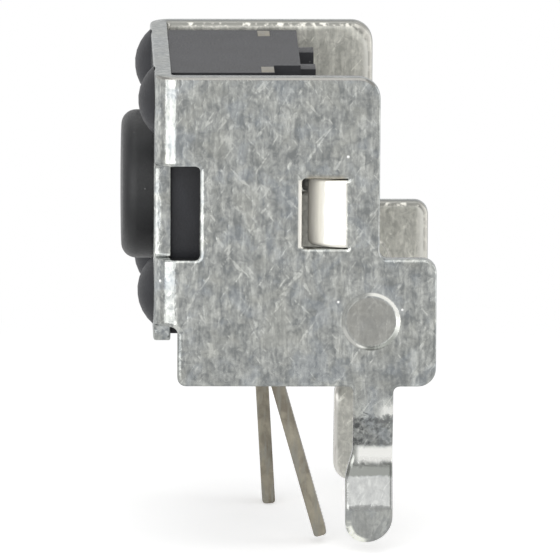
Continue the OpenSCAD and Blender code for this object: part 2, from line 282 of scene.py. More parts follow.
def tab_slot_outline():
    """The cut that frees the right wing's tab on three sides, with the sheet on its left."""
    front, free, hinge = flat_s(HOUSING_BACK), flat_s(TAB_FREE), flat_s(TAB_HINGE)
    out_low, out_high = MID_Z - TAB_HALF - SHEAR_GAP, MID_Z + TAB_HALF + SHEAR_GAP
    in_low, in_high = MID_Z - TAB_HALF, MID_Z + TAB_HALF
    end_r = SHEAR_GAP * 0.49
    return rounded([
        (front, out_low, SLOT_CORNER_R),
        (front, out_high, SLOT_CORNER_R),
        (hinge, out_high, end_r),
        (hinge, in_high, end_r),
        (free, in_high, TAB_CORNER_R),
        (free, in_low, TAB_CORNER_R),
        (hinge, in_low, end_r),
        (hinge, out_low, end_r),
    ])


def cut_loops():
    """The blank's outer edge and then every hole in it, each with the sheet on its left."""
    loops = [blank_outline(), circle(0, MID_Z, BUTTON_HOLE_R)]
    loops += [circle(x, z, STAKE_HOLE_R) for x in (-STAKE_X, STAKE_X) for z in STAKE_Z]
    for side in (1, -1):
        loops += [mirrored(window_outline(), side), mirrored(tab_slot_outline(), side)]
    return loops


# ---------------------------------------------------------------- bending the blank


def smooth(x):
    """0 below 0, 1 above 1, and a smooth step between."""
    x = max(0.0, min(1.0, x))
    return x * x * (3 - 2 * x)


def ramp(x, width):
    """max(x, 0), rounded over the width."""
    if x <= -width:
        return 0.0
    if x >= width:
        return x
    return (x + width) ** 2 / (4 * width)


def kink(z):
    """How far a leg is pushed inwards at a height: two straight slopes, eased at their ends."""
    slope = KINK_DEPTH / (KINK_START - KINK_MID)
    depth = slope * ramp(KINK_START - z, KINK_START_EASE)
    depth -= 2 * slope * ramp(KINK_MID - z, KINK_MID_EASE)
    return depth + slope * ramp(KINK_END - z, KINK_END_EASE)


def on_tab(y, z):
    """Whether a place on a wing belongs to its tab."""
    free_edge = TAB_FREE - SHEAR_GAP
    return free_edge < y < TAB_HINGE and abs(z - MID_Z) < TAB_HALF + SHEAR_GAP / 2


def tab_place(y, z, h):
    """(x, y, z) of a place on the right wing's tab at the height h within the sheet."""
    run, bend = TAB_HINGE - y, TAB_ANGLE * TAB_R
    angle, extra = min(run, bend) / TAB_R, max(run - bend, 0)
    inner_r = TAB_R - SHEET / 2
    r, centre = inner_r + h, WING_IN - inner_r
    x = centre + r * math.cos(angle) - extra * math.sin(angle)
    return x, TAB_HINGE - r * math.sin(angle) - extra * math.cos(angle), z


def on_wing(y, z, h):
    """(x, y, z) of a place on the right wing at the height h within the sheet."""
    if on_tab(y, z):
        return tab_place(y, z, h)
    away = math.hypot(y - DIMPLE_Y, z - DIMPLE_Z)
    x = WING_IN + h
    x -= DIMPLE_DEPTH * smooth((DIMPLE_R - away) / (DIMPLE_R - DIMPLE_FLOOR_R))
    if z < 0:
        x -= kink(z)
    return x, y, z


def waviness(x, y, z):
    """The slight unevenness of pressed sheet."""
    return WAVE_H * noise.noise(Vector([v * rate for v, rate in zip((x, y, z), WAVE_RATE)]))


def bent(s, z, h):
    """The place in the finished bracket of a place in the blank, h above the inner face."""
    side, a = (1 if s >= 0 else -1), abs(s)
    if a <= FOLD_X:
        x, y = a, PLATE_Y - h
        y += waviness(side * x, 0, z)
    elif a < FOLD_X + FOLD_L:
        angle = (a - FOLD_X) / FOLD_L * math.pi / 2
        r = FOLD_IN_R + h
        x, y = FOLD_X + r * math.sin(angle), FOLD_Y - r * math.cos(angle)
    else:
        x, y, z = on_wing(FOLD_Y + a - FOLD_X - FOLD_L, z, h)
        x += waviness(side * 5, y, z) * smooth((y - FOLD_Y) / WAVE_START)
    return Vector((side * x, y, z))


# ---------------------------------------------------------------- meshing the sheet


def inward_normals(outline):
    """Unit normals on the outline's left, where the sheet is."""
    normals = []
    for i, point in enumerate(outline):
        before = (point - outline[i - 1]).normalized()
        after = (outline[(i + 1) % len(outline)] - point).normalized()
        along = (before + after).normalized()
        normals.append(Vector((-along.y, along.x)))
    return normals


def inside(points, loops):
    """Which points lie inside an odd number of the loops."""
    x, y = points[:, 0], points[:, 1]
    odd = np.zeros(len(points), bool)
    for loop in loops:
        a = np.array([tuple(p) for p in loop])
        b = np.roll(a, -1, axis=0)
        for (ax, ay), (bx, by) in zip(a, b):
            crosses = (ay > y) != (by > y)
            if crosses.any():
                at = ax + (y - ay) * (bx - ax) / ((by - ay) or 1)
                odd ^= crosses & (x < at)
    return odd


def clear_of(points, rings, gap):
    """The points that stay at least a gap away from every ring point."""
    ring = np.array([tuple(p) for loop in rings for p in loop])
    keep = np.ones(len(points), bool)
    for start in range(0, len(points), BLOCK):
        block = points[start : start + BLOCK]
        nearest = ((block[:, None, :] - ring[None, :, :]) ** 2).sum(2).min(1)
        keep[start : start + BLOCK] = nearest > gap * gap
    return points[keep]


def grid_points():
    """An even grid over the blank, with its own columns across each fold."""
    flat_columns = np.arange(0, FOLD_X - FOLD_CLEAR, GRID_STEP)[1:]
    fold_columns = FOLD_X + FOLD_L * np.arange(0, FOLD_STEPS + 1) / FOLD_STEPS
    wing_start = FOLD_X + FOLD_L + WING_COLUMN_OFFSET
    wing_columns = np.arange(wing_start, flat_s(FOOT_BACK), GRID_STEP)
    right = np.concatenate([flat_columns, fold_columns, wing_columns])
    columns = np.concatenate([-right[::-1], [0], right])
    rows = np.arange(LEG_TIP_Z, TOP_Z, ROW_STEP)
    return np.array([(s, z) for s in columns for z in rows])


def dimple_circles():
    """Circles that the mesh follows round both dimples."""
    radii = [DIMPLE_FLOOR_R * k / 4 for k in (1, 2, 3)]
    step = (DIMPLE_R - DIMPLE_FLOOR_R) / 4
    radii += [DIMPLE_FLOOR_R + step * k for k in range(-1, 6)]
    middle = flat_s(DIMPLE_Y)
    return [circle(side * middle, DIMPLE_Z, r, 1) for side in (1, -1) for r in radii]


def face_triangles(rings, inner_points, circles):
    """Triangles over the sheet between the rings: (2D points, index triples, their origins)."""
    points, edges = [], []
    for loop in rings + circles:
        start = len(points)
        points.extend(Vector(p) for p in loop)
        n = len(loop)
        edges.extend((start + i, start + (i + 1) % n) for i in range(n))
    points.extend(Vector(p) for p in inner_points)
    out, _, faces, origin, _, _ = delaunay_2d_cdt(points, edges, [], 0, MERGE)
    centres = [sum((out[i] for i in f), Vector((0, 0))) / len(f) for f in faces]
    keep = inside(np.array([tuple(c) for c in centres]), rings)
    return out, [f for f, k in zip(faces, keep) if k], origin


def roll_scale(p):
    """How wide the inner roll is: narrow on the front plate, widest at the wings' top corners."""
    corner = Vector((flat_s(WING_BACK) - INNER_CORNER_INSET, TOP_Z - INNER_CORNER_INSET))
    near = smooth(1 - (Vector((abs(p.x), p.y)) - corner).length / INNER_CORNER_REACH)
    wing = smooth((abs(p.x) - FOLD_X) / FOLD_L)
    return INNER_PLATE_SHARE + (1 - INNER_PLATE_SHARE) * wing + INNER_CORNER_EXTRA * near


def roll_profile(width, depth):
    """(distance from the edge, drop below the face) along a rounded edge, from wall to face."""
    turns = [math.pi / 2 * k / ROLL_STEPS for k in range(ROLL_STEPS + 1)]
    profile = [(width * (1 - math.cos(a)), depth * (1 - math.sin(a))) for a in turns]
    return profile + [(width + FLAT_MARGIN, 0)]


def strip(bm, first, second):
    """Joins two rings of the same length with a band of faces."""
    n = len(first)
    for i in range(n):
        j = (i + 1) % n
        bm.faces.new((first[i], first[j], second[j], second[i]))


def roll_ring(bm, loop, normals, e, drop, outer):
    """One ring of a rounded edge: (its flat points, its vertices)."""
    scales = [1 if outer else roll_scale(p) for p in loop]
    flat = [p + n * e * k for p, n, k in zip(loop, normals, scales)]
    heights = [SHEET - drop if outer else drop * k for k in scales]
    return flat, [bm.verts.new(bent(p.x, p.y, h)) for p, h in zip(flat, heights)]


def rolled_edge(bm, loop, outer):
    """A rounded edge: (flat points beside the face, vertices at the wall and at the face)."""
    normals = inward_normals(loop)
    rings = []
    for e, drop in roll_profile(*(OUTER_ROLL if outer else INNER_ROLL)):
        rings.append(roll_ring(bm, loop, normals, e, drop, outer))
        if len(rings) > 1:
            strip(bm, rings[-2][1], rings[-1][1])
    return rings[-1][0], rings[0][1], rings[-1][1]


def cover(bm, rings, ring_verts, h):
    """Fills the face at the height h within the rings, whose vertices are there already."""
    circles = dimple_circles()
    free = grid_points()
    free = clear_of(free[inside(free, rings)], rings, EDGE_CLEAR)
    free = clear_of(free, circles, CIRCLE_CLEAR)
    points, faces, origin = face_triangles(rings, free, circles)
    used = {}
    for face in faces:
        for i in face:
            if i not in used:
                known = [o for o in origin[i] if o < len(ring_verts)]
                p = points[i]
                used[i] = ring_verts[known[0]] if known else bm.verts.new(bent(p.x, p.y, h))
        bm.faces.new([used[i] for i in face])


def linked(name, data):
    """A new object in the scene."""
    item = bpy.data.objects.new(name, data)
    scene.collection.objects.link(item)
    return item


def solid_piece(bm, name):
    """The closed mesh as a smooth-shaded piece in metres."""
    bmesh.ops.recalc_face_normals(bm, faces=bm.faces)
    for face in bm.faces:
        face.smooth = True
    bmesh.ops.scale(bm, vec=(MM, MM, MM), verts=bm.verts)
    mesh = bpy.data.meshes.new(name)
    bm.to_mesh(mesh)
    bm.free()
    return linked(name, mesh)


def sheet_piece(name):
    """The whole bracket as one closed mesh, bent up from its blank."""
    bm = bmesh.new()
    loops = cut_loops()
    walls = []
    for outer in (True, False):
        flats, wall_rings, face_rings = zip(*(rolled_edge(bm, loop, outer) for loop in loops))
        ring_verts = [vert for ring in face_rings for vert in ring]
        cover(bm, list(flats), ring_verts, SHEET if outer else 0)
        walls.append(wall_rings)
    for outer_ring, inner_ring in zip(*walls):
        strip(bm, outer_ring, inner_ring)
    return solid_piece(bm, name)


# ---------------------------------------------------------------- turned pieces

HAIR = 0.01  # a short run beside an edge that keeps its shading crisp


def lathe(name, profile, steps):
    """A solid turned about the button's axis from (radius, y) points, both ends on the axis."""
    bm = bmesh.new()
    turns = [2 * math.pi * k / steps for k in range(steps)]
    rings = []
    for r, y in profile:
        if r == 0:
            rings.append([bm.verts.new((0, y, MID_Z))])
        else:
            places = [(r * math.cos(a), y, MID_Z + r * math.sin(a)) for a in turns]
            rings.append([bm.verts.new(place) for place in places])
    for first, second in zip(rings, rings[1:]):
        for i in range(steps):
            j = (i + 1) % steps
            corners = [first[i % len(first)], first[j % len(first)]]
            corners += [second[j % len(second)], second[i % len(second)]]
            bm.faces.new(list(dict.fromkeys(corners)))
    return solid_piece(bm, name)


def arc_profile(r_centre, y_centre, radius, start, end, steps):
    """Points (radius, y) of an arc, with angles in degrees from the outward direction."""
    turns = [math.radians(start + (end - start) * k / steps) for k in range(steps + 1)]
    return [(r_centre + radius * math.cos(a), y_centre + radius * math.sin(a)) for a in turns]


def button_profile():
    """The button from its face back: cap, flange and the nub that presses the dome."""
    r, edge_r, nub_r, soft_r = 1.72, 0.34, 0.8, 0.05
    flange_r = (BUTTON_HIGH.x - BUTTON_LOW.x) / 2
    face, flange_front, flange_back = BUTTON_LOW.y, PLATE_Y + 0.03, PLATE_Y + 0.63
    end = BUTTON_HIGH.y
    profile = [(0, face), (r - edge_r - 2 * HAIR, face)]
    profile += arc_profile(r - edge_r, face + edge_r, edge_r, -90, 0, 12)
    profile += [(r, face + edge_r + 2 * HAIR), (r, flange_front - HAIR), (r, flange_front)]
    profile += [(r + HAIR, flange_front), (flange_r - soft_r - HAIR, flange_front)]
    profile += arc_profile(flange_r - soft_r, flange_front + soft_r, soft_r, -90, 0, 4)
    profile += arc_profile(flange_r - soft_r, flange_back - soft_r, soft_r, 0, 90, 4)
    profile += [(nub_r + HAIR, flange_back), (nub_r, flange_back + HAIR)]
    profile += arc_profile(nub_r - soft_r, end - soft_r, soft_r, 0, 90, 4)
    return profile + [(0, end)]


def dome_profile():
    """The snap dome: its outer face from the middle to the rim, and its inner face back."""
    bands, thick = 20, 0.07
    rim_r = (DOME_HIGH.x - DOME_LOW.x) / 2
    height = DOME_HIGH.y - DOME_LOW.y
    sphere_r = (rim_r**2 + height**2) / (2 * height)
    centre = DOME_LOW.y + sphere_r

    def face(radius):
        """One face, from the middle to the rim."""
        reach = math.acos((centre - DOME_HIGH.y) / radius)
        angles = [reach * k / bands for k in range(bands + 1)]
        return [(radius * math.sin(a), centre - radius * math.cos(a)) for a in angles]

    return face(sphere_r) + face(sphere_r - thick)[::-1]


# ---------------------------------------------------------------- material helpers


class Nodes:
    """Short calls to build a material's node tree."""

    def __init__(self, name):
        """An empty material, with the places on its surface in millimetres."""
        self.material = bpy.data.materials.new(name)
        self.material.use_nodes = True
        self.tree = self.material.node_tree
        self.tree.nodes.clear()
        self.out = self.tree.nodes.new("ShaderNodeOutputMaterial")
        place = self.tree.nodes.new("ShaderNodeTexCoord")
        self.coords = self.mapped(place.outputs["Object"], (1 / MM,) * 3)
        self.normals = place.outputs["Normal"]

    def add(self, kind, inputs=None, **settings):
        """A node with its settings and its inputs given."""
        node = self.tree.nodes.new(kind)
        for key, value in settings.items():
            setattr(node, key, value)
        for key, value in (inputs or {}).items():
            self.set(node.inputs[key], value)
        return node

    def set(self, socket, value):
        """Gives an input a plain value, or links it to another node's output."""
        if isinstance(value, bpy.types.NodeSocket):
            self.tree.links.new(value, socket)
        else:
            socket.default_value = value

    def mapped(self, vector, scale, rotation=(0, 0, 0), location=(0, 0, 0)):
        """The vector turned, then scaled and moved."""
        turned = self.add("ShaderNodeVectorRotate", {"Vector": vector, "Rotation": rotation},
                          rotation_type="EULER_XYZ")
        moved = self.add("ShaderNodeMapping", {
            "Vector": turned.outputs[0], "Scale": scale, "Location": location})
        return moved.outputs[0]

    def place(self, axis):
        """One coordinate of the surface, in millimetres."""
        return self.add("ShaderNodeSeparateXYZ", {0: self.coords}).outputs[axis]

    def facing(self, axis):
        """How far the surface looks along an axis, from -1 to 1."""
        return self.add("ShaderNodeSeparateXYZ", {0: self.normals}).outputs[axis]

    def math(self, operation, *values):
        """The result of one operation."""
        return self.add("ShaderNodeMath", dict(enumerate(values)), operation=operation).outputs[0]

    def total(self, parts, start=0.0):
        """The start plus every (value, weight) product."""
        for value, weight in parts:
            start = self.math("MULTIPLY_ADD", value, weight, start)
        return start

    def product(self, first, *others):
        """All the values multiplied."""
        for other in others:
            first = self.math("MULTIPLY", first, other)
        return first

    def noise(self, vector, scale, detail=2.0, roughness=0.5, distortion=0.0):
        """Smooth noise from 0 to 1."""
        node = self.add("ShaderNodeTexNoise", {
            "Vector": vector, "Scale": scale, "Detail": detail,
            "Roughness": roughness, "Distortion": distortion})
        return node.outputs["Fac"]

    def spots(self, scale, edge, core):
        """Mask of scattered round spots, from 0 at their edge's radius to 1 at their core's."""
        cells = self.add("ShaderNodeTexVoronoi", {"Vector": self.coords, "Scale": scale})
        return self.span(cells.outputs["Distance"], edge, core)

    def span(self, value, low, high, to_low=0.0, to_high=1.0):
        """The value mapped from one range to another, and held within it."""
        node = self.add("ShaderNodeMapRange", {
            "Value": value, "From Min": low, "From Max": high,
            "To Min": to_low, "To Max": to_high}, interpolation_type="SMOOTHSTEP")
        return node.outputs[0]

    def band(self, value, start, full, fade, end):
        """Mask that is 1 from full to fade, and 0 up to the start and from the end."""
        return self.product(self.span(value, start, full), self.span(value, end, fade))

    def mix(self, factor, a, b):
        """The colour a where the factor is 0 and b where it is 1."""
        return self.add("ShaderNodeMix", {0: factor, 6: a, 7: b}, data_type="RGBA").outputs[2]

    def layered(self, base, layers):
        """The base colour with every (mask, colour) laid over it in turn."""
        for mask, colour in layers:
            base = self.mix(mask, base, colour)
        return base

    def bump(self, height, distance, strength):
        """Normals for a relief of the given distance, in millimetres."""
        inputs = {"Height": height, "Distance": distance * MM, "Strength": strength}
        return self.add("ShaderNodeBump", inputs).outputs[0]

    def surface(self, inputs):
        """The finished material, with its shader's inputs given."""
        shader = self.add("ShaderNodeBsdfPrincipled", inputs)
        self.tree.links.new(shader.outputs[0], self.out.inputs["Surface"])
        return self.material


def dress(piece, material):
    """Gives a piece one material."""
    piece.data.materials.clear()
    piece.data.materials.append(material)


def around(m, y, z):
    """(distance from a place on the wings, how far above it, its slant: 1 is up and back)."""
    back, up = m.math("SUBTRACT", m.place("Y"), y), m.math("SUBTRACT", m.place("Z"), z)
    squares = ((m.product(back, back), 1.0), (m.product(up, up), 1.0))
    away = m.math("SQRT", m.total(squares))
    slant = m.math("DIVIDE", m.math("ADD", back, up), m.product(away, math.sqrt(2)))
    return away, up, slant


def inwards(m):
    """How far the surface looks away from the middle plane: -1 is straight towards it."""
    return m.product(m.facing("X"), m.math("SIGN", m.place("X")))


# ---------------------------------------------------------------- tinned steel

# Colours, as red, green, blue and alpha
TIN_DARK, TIN_LIGHT = (0.205, 0.215, 0.213, 1), (0.51, 0.52, 0.493, 1)
TIN_COOL, TIN_WARM = (0.33, 0.37, 0.42, 1), (0.36, 0.36, 0.32, 1)
TIN_SPECK = (0.97, 0.97, 0.95, 1)
TIN_EDGE_TINT = (0.755, 0.765, 0.77, 1)
# Painted dark reflection on the legs' upper slopes, which face down
KINK_PAINTED_DARK_REFLECTION = (0.085, 0.088, 0.088, 1)
# Painted highlight on the kinks' crests and the rear corners above them
KINK_PAINTED_HIGHLIGHT = (0.74, 0.74, 0.71, 1)
KINK_SHADED = (0.16, 0.165, 0.155, 1)
# Painted shade that dims the lamp's reflection on the legs' lower slopes
SLOPE_DARK, SLOPE_LIGHT = (0.25, 0.255, 0.25, 1), (0.335, 0.34, 0.33, 1)
TIP_GREY = (0.265, 0.27, 0.26, 1)
# Painted highlight on the tips' lower front edges
TIP_PAINTED_HIGHLIGHT = (0.82, 0.83, 0.76, 1)
DIMPLE_FLOOR = (0.315, 0.31, 0.285, 1)
# Painted shade and painted highlights on the dimples' rims
DIMPLE_RIM_PAINTED_SHADE = (0.25, 0.255, 0.24, 1)
DIMPLE_SHADED = (0.12, 0.125, 0.115, 1)
DIMPLE_PAINTED_HIGHLIGHT = (0.74, 0.74, 0.70, 1)
# Painted highlight on the latch tabs and their slots' walls
TAB_PAINTED_HIGHLIGHT = (0.92, 0.90, 0.83, 1)
# Painted brown shade above the tabs and on their free ends
TAB_PAINTED_SHADE = (0.36, 0.32, 0.245, 1)
# Inner faces painted lighter, and painted shade in streaks on them below the board
INNER_LIT_DARK, INNER_LIT_LIGHT = (0.46, 0.46, 0.42, 1), (0.86, 0.85, 0.775, 1)
INNER_SHADE_STREAK = (0.27, 0.265, 0.25, 1)
# Painted highlight along the rear edges of the inner faces
REAR_PAINTED_HIGHLIGHT = (0.84, 0.83, 0.77, 1)
# Painted shade on the inner rolled edges, lighter where they face the rear, and painted highlight
# spots on the roll
CREST_SHADE, CREST_LIT_REAR = (0.22, 0.22, 0.205, 1), (0.36, 0.355, 0.33, 1)
ROLL_SHADE, ROLL_LIT_REAR = (0.19, 0.19, 0.175, 1), (0.5, 0.49, 0.45, 1)
ROLL_PAINTED_HIGHLIGHT = (0.58, 0.57, 0.52, 1)
# Painted highlight on the legs' edges
LEG_EDGE_HIGHLIGHT = (0.88, 0.86, 0.82, 1)
# Painted shade on the outer top edges
OUTER_TOP_SHADE = (0.255, 0.25, 0.235, 1)

# Heights of the bands on a kinked leg: where each starts, is full, fades and ends
CORNER_BAND = (-0.72, -0.62, -0.5, -0.25)
DARK_REFLECTION_BAND = (-1.5, -1.4, -0.78, -0.62)
KINK_HIGHLIGHT_BAND = (-1.95, -1.78, -1.54, -1.42)
SHADED_BAND = (-2.22, -2.14, -1.95, -1.8)
SLOPE_BAND = (-2.92, -2.86, -2.22, -2.14)
RAGGED_BY, NEAT_BY = 0.1, 0.025  # how far their edges wander
DARK_REFLECTION_FADE_Y = (2.2, 2.9)
CORNER_Y = (2.55, 2.8)
LEG_TIP_ROUND = 0.5

# The same four values of the bands on the inner rolled edges, by how they look inwards
CREST_BAND = (-0.84, -0.72, -0.12, 0.02)
ROLL_BAND = (-0.99, -0.95, -0.84, -0.72)

SCRATCH_SOFT = 0.06


def tin_marks(m):
    """The plating's noises, from the widest to the finest, and its strokes up and down."""
    return {
        "patch": m.noise(m.coords, 1.9, detail=3.0, roughness=0.55, distortion=0.6),
        "mottle": m.noise(m.coords, 5.2, detail=3.0, roughness=0.62, distortion=0.9),
        "grain": m.noise(m.mapped(m.coords, (14.0, 14.0, 8.0)), 1.0),
        "strokes": m.noise(m.mapped(m.coords, (8.0, 8.0, 1.7)), 1.0,
                           roughness=0.55, distortion=0.5),
    }


def scratches(m, angle, seed, rarity):
    """Mask of short scratches across the sheet at an angle."""
    turned = m.mapped(m.coords, (8.5, 8.5, 1.6), (math.radians(angle), 0, 0), (seed, 0, seed))
    lines = m.noise(turned, 1.0, detail=1.0, roughness=0.4, distortion=0.5)
    return m.span(lines, rarity, rarity + SCRATCH_SOFT)


def tin_tone(m, marks):
    """How light the plating is, from 0 to 1, with its soft strokes and crossed scratches."""
    patch, strokes = marks["patch"], marks["strokes"]
    stroke = m.product(m.span(strokes, 0.53, 0.66), m.span(patch, 0.38, 0.62))
    rising = scratches(m, angle=34, seed=3.1, rarity=0.66)
    falling = scratches(m, angle=-38, seed=7.7, rarity=0.67)
    wisps = m.product(m.math("MAXIMUM", rising, falling),
                      m.span(marks["mottle"], 0.35, 0.6, to_low=0.2))
    return m.total(((patch, 0.85), (marks["mottle"], 1.35), (marks["grain"], 0.75),
                    (strokes, 1.25), (stroke, 0.2), (wisps, 0.6)), -1.73)


def tin_patches(m):
    """Cool and warm patches and bright specks."""
    hue = m.noise(m.coords, 1.3, detail=3.0, roughness=0.6, distortion=0.5)
    return [
        (m.span(hue, 0.35, 0.5, to_low=0.22, to_high=0.0), TIN_COOL),
        (m.span(hue, 0.52, 0.66, to_high=0.28), TIN_WARM),
        (m.spots(1.15, edge=0.05, core=0.025), TIN_SPECK),
    ]


def kink_painted_dark_reflection(m, ragged, neat):
    """Mask of the painted dark reflection, in blotches, on a leg's upper slope."""
    start, full, fade, end = DARK_REFLECTION_BAND
    band = m.product(m.span(neat, start, full), m.span(ragged, end, fade))
    cloud = m.noise(m.coords, 5.5, detail=3.0, roughness=0.6)
    blotches = m.span(cloud, 0.36, 0.6, to_low=1.0, to_high=0.25)
    weaker = m.span(m.place("Y"), *DARK_REFLECTION_FADE_Y, to_low=1.0, to_high=0.7)
    return m.product(band, m.product(blotches, weaker))


def kink_painted_highlight(m, ragged, neat):
    """Mask of the painted highlight on a kink's crest and at the rear corner above it."""
    y = m.place("Y")
    crest = m.product(m.band(neat, *KINK_HIGHLIGHT_BAND), m.span(y, LEG_FRONT + 0.04, LEG_FRONT + 0.16))
    corner = m.product(m.band(ragged, *CORNER_BAND), m.span(y, *CORNER_Y, to_high=0.8))
    return m.math("MAXIMUM", crest, corner)


def tip_painted_highlight(m):
    """Mask of a painted highlight: a crescent along the lower front edge of a leg's tip."""
    away, _, slant = around(m, LEG_FRONT + LEG_W - LEG_TIP_W / 2, LEG_TIP_Z + LEG_TIP_ROUND)
    ring = m.product(m.span(away, 0.38, 0.44), m.span(slant, -0.6, -0.95))
    return m.product(ring, m.span(m.noise(m.coords, 6.0), 0.35, 0.55, to_low=0.35))


def leg_painted_light(m, mottle, tone):
    """Painted dark reflections, highlights and shade on the kinked legs, from the board down to
    their tips, which are darker and plainer.
    """
    z = m.place("Z")
    ragged = m.math("ADD", z, m.span(mottle, 0.3, 0.7, -RAGGED_BY, RAGGED_BY))
    neat = m.math("ADD", z, m.span(mottle, 0.3, 0.7, -NEAT_BY, NEAT_BY))
    start, full, fade, end = SLOPE_BAND
    return [
        (kink_painted_dark_reflection(m, ragged, neat), KINK_PAINTED_DARK_REFLECTION),
        (kink_painted_highlight(m, ragged, neat), KINK_PAINTED_HIGHLIGHT),
        (m.band(neat, *SHADED_BAND), KINK_SHADED),
        # painted shade on the lower slope, which dims the lamp's reflection there
        (m.product(m.span(z, start, full), m.span(neat, end, fade)),
         m.mix(tone, SLOPE_DARK, SLOPE_LIGHT)),
        (m.span(z, KINK_END + 0.03, KINK_END - 0.03, to_high=0.55), TIP_GREY),
        (tip_painted_highlight(m), TIP_PAINTED_HIGHLIGHT),
    ]


def dimple_floors_and_painted_light(m):
    """The dimples' smoothed floors, and painted shade and painted highlights on their rims."""
    away, up, slant = around(m, DIMPLE_Y, DIMPLE_Z)
    rim = m.band(away, DIMPLE_FLOOR_R - 0.01, DIMPLE_FLOOR_R + 0.02,
                 DIMPLE_R - 0.015, DIMPLE_R + 0.02)
    lower = m.span(m.math("DIVIDE", up, away), -0.25, -0.65)
    highlit = m.math("MAXIMUM", m.span(slant, 0.5, 0.8), m.span(slant, -0.75, -0.95, to_high=0.6))
    return [
        (m.span(away, DIMPLE_FLOOR_R, DIMPLE_FLOOR_R - 0.05, to_high=0.65), DIMPLE_FLOOR),
        (m.product(rim, 0.6), DIMPLE_RIM_PAINTED_SHADE),
        (m.product(rim, lower), DIMPLE_SHADED),
        (m.product(rim, highlit), DIMPLE_PAINTED_HIGHLIGHT),
    ]


def tab_painted_highlight(m):
    """Mask of the painted highlight on the latch tabs and on the walls of the slots round them.
    """
    away = m.math("ABSOLUTE", m.math("SUBTRACT", m.place("Z"), MID_Z))
    along = m.band(m.place("Y"), HOUSING_BACK - 0.1, HOUSING_BACK - 0.06,
                   TAB_HINGE - 0.06, TAB_HINGE + 0.03)
    return m.product(along, m.span(away, TAB_HALF + 0.02, TAB_HALF - 0.03))


def tab_painted_shade(m):
    """Mask of the painted brown shade above the latch tabs and on their free ends."""
    y, up = m.place("Y"), m.math("SUBTRACT", m.place("Z"), MID_Z)
    above = m.band(up, TAB_HALF - 0.03, TAB_HALF + 0.02, TAB_HALF + 0.04, TAB_HALF + 0.16)
    along = m.band(y, HOUSING_BACK + 0.05, TAB_FREE + 0.1, TAB_HINGE - 0.15, TAB_HINGE + 0.02)
    end = m.band(y, TAB_FREE - 0.06, TAB_FREE - 0.02, TAB_FREE + 0.06, TAB_FREE + 0.22)
    across = m.span(m.math("ABSOLUTE", up), TAB_HALF + 0.08, TAB_HALF)
    return m.total(((m.product(above, along), 0.6), (m.product(end, across), 0.35)))


def rear_painted_highlight(m):
    """Mask of the painted highlight along the rear edges of the wings and their feet."""
    y, z = m.place("Y"), m.place("Z")
    edges = WING_BACK, FOOT_BACK
    wing, foot = (m.span(y, edge - 0.3, edge - 0.16, to_high=0.8) for edge in edges)
    wing = m.product(wing, m.span(z, WING_STEP + 0.05, WING_STEP + 0.1))
    return m.math("MAXIMUM", wing, m.product(foot, m.span(z, -0.1, 0.0)))


def inner_painted_light(m, inner, tone, strokes):
    """The inner faces painted lighter, with painted shade in streaks below the board."""
    below = m.span(m.place("Z"), -0.3, -0.6, to_high=0.4)
    streaks = m.product(m.span(strokes, 0.42, 0.56), below)
    return [
        (inner, m.mix(tone, INNER_LIT_DARK, INNER_LIT_LIGHT)),
        (m.product(inner, streaks), INNER_SHADE_STREAK),
        (m.product(inner, rear_painted_highlight(m)), REAR_PAINTED_HIGHLIGHT),
    ]


def inner_rolls(m):
    """Masks of the inner faces' rolled edges: the crest and the roll below it."""
    facing, above = inwards(m), m.span(m.place("Z"), -0.5, -0.3)
    bands = CREST_BAND, ROLL_BAND
    return [m.product(m.band(facing, *band), above) for band in bands]


def rim_painted_light(m, crest, roll):
    """Painted shade on the crest and the roll, lighter where they face the rear, painted
    highlight spots on the roll, painted highlights on the legs' edges and painted shade on the
    outer top edges.
    """
    along = m.facing("Y")
    rear = m.span(along, 0.15, 0.4)
    spots = m.span(m.noise(m.coords, 6.5), 0.47, 0.64)
    roll_shade = m.mix(rear, ROLL_SHADE, ROLL_LIT_REAR)
    leg_edge_highlight = m.product(m.span(m.math("ABSOLUTE", along), 0.15, 0.4),
                         m.span(inwards(m), -0.25, -0.4),
                         m.span(m.place("Z"), -0.1, -0.4, to_high=0.85))
    outer_top_shade = m.product(m.span(m.facing("Z"), 0.1, 0.3),
                          m.span(inwards(m), 0.15, 0.4),
                          m.span(m.place("Z"), TOP_Z - 0.25, TOP_Z - 0.15))
    return [
        (crest, m.mix(rear, CREST_SHADE, CREST_LIT_REAR)),
        (roll, m.mix(spots, roll_shade, ROLL_PAINTED_HIGHLIGHT)),
        (leg_edge_highlight, LEG_EDGE_HIGHLIGHT),
        (outer_top_shade, OUTER_TOP_SHADE),
    ]


def tinned_steel():
    """Tin-plated sheet: mottled grey with soft strokes up and down and scratches, with painted
    highlights, shade and dark reflections over it.
    """
    m = Nodes("tinned_steel")
    marks = tin_marks(m)
    patch, mottle, grain, strokes = marks.values()
    tone = tin_tone(m, marks)
    inner = m.span(inwards(m), -0.2, -0.8)  # the faces that look towards the middle plane
    tab_highlight = tab_painted_highlight(m)
    crest, roll = inner_rolls(m)
    base = m.layered(m.mix(tone, TIN_DARK, TIN_LIGHT), [
        *tin_patches(m),
        *leg_painted_light(m, mottle, tone),
        *dimple_floors_and_painted_light(m),
        (tab_highlight, TAB_PAINTED_HIGHLIGHT),
        (tab_painted_shade(m), TAB_PAINTED_SHADE),
        *inner_painted_light(m, inner, tone, strokes),
        *rim_painted_light(m, crest, roll),
    ])
    plain = m.math("SUBTRACT", inner, m.math("MAXIMUM", crest, roll))
    metallic = m.total(((m.math("MAXIMUM", plain, 0.0), -0.55), (tab_highlight, -0.6)), 1.0)
    height = m.total(((patch, 0.5), (mottle, 0.8), (grain, 0.4), (strokes, 0.4)))
    return m.surface({
        "Base Color": base,
        "Metallic": metallic,
        "Roughness": m.total(((mottle, 0.12), (inner, 0.2)), 0.09),
        "Normal": m.bump(height, distance=0.005, strength=1.0),
        "Specular Tint": TIN_EDGE_TINT,
    })


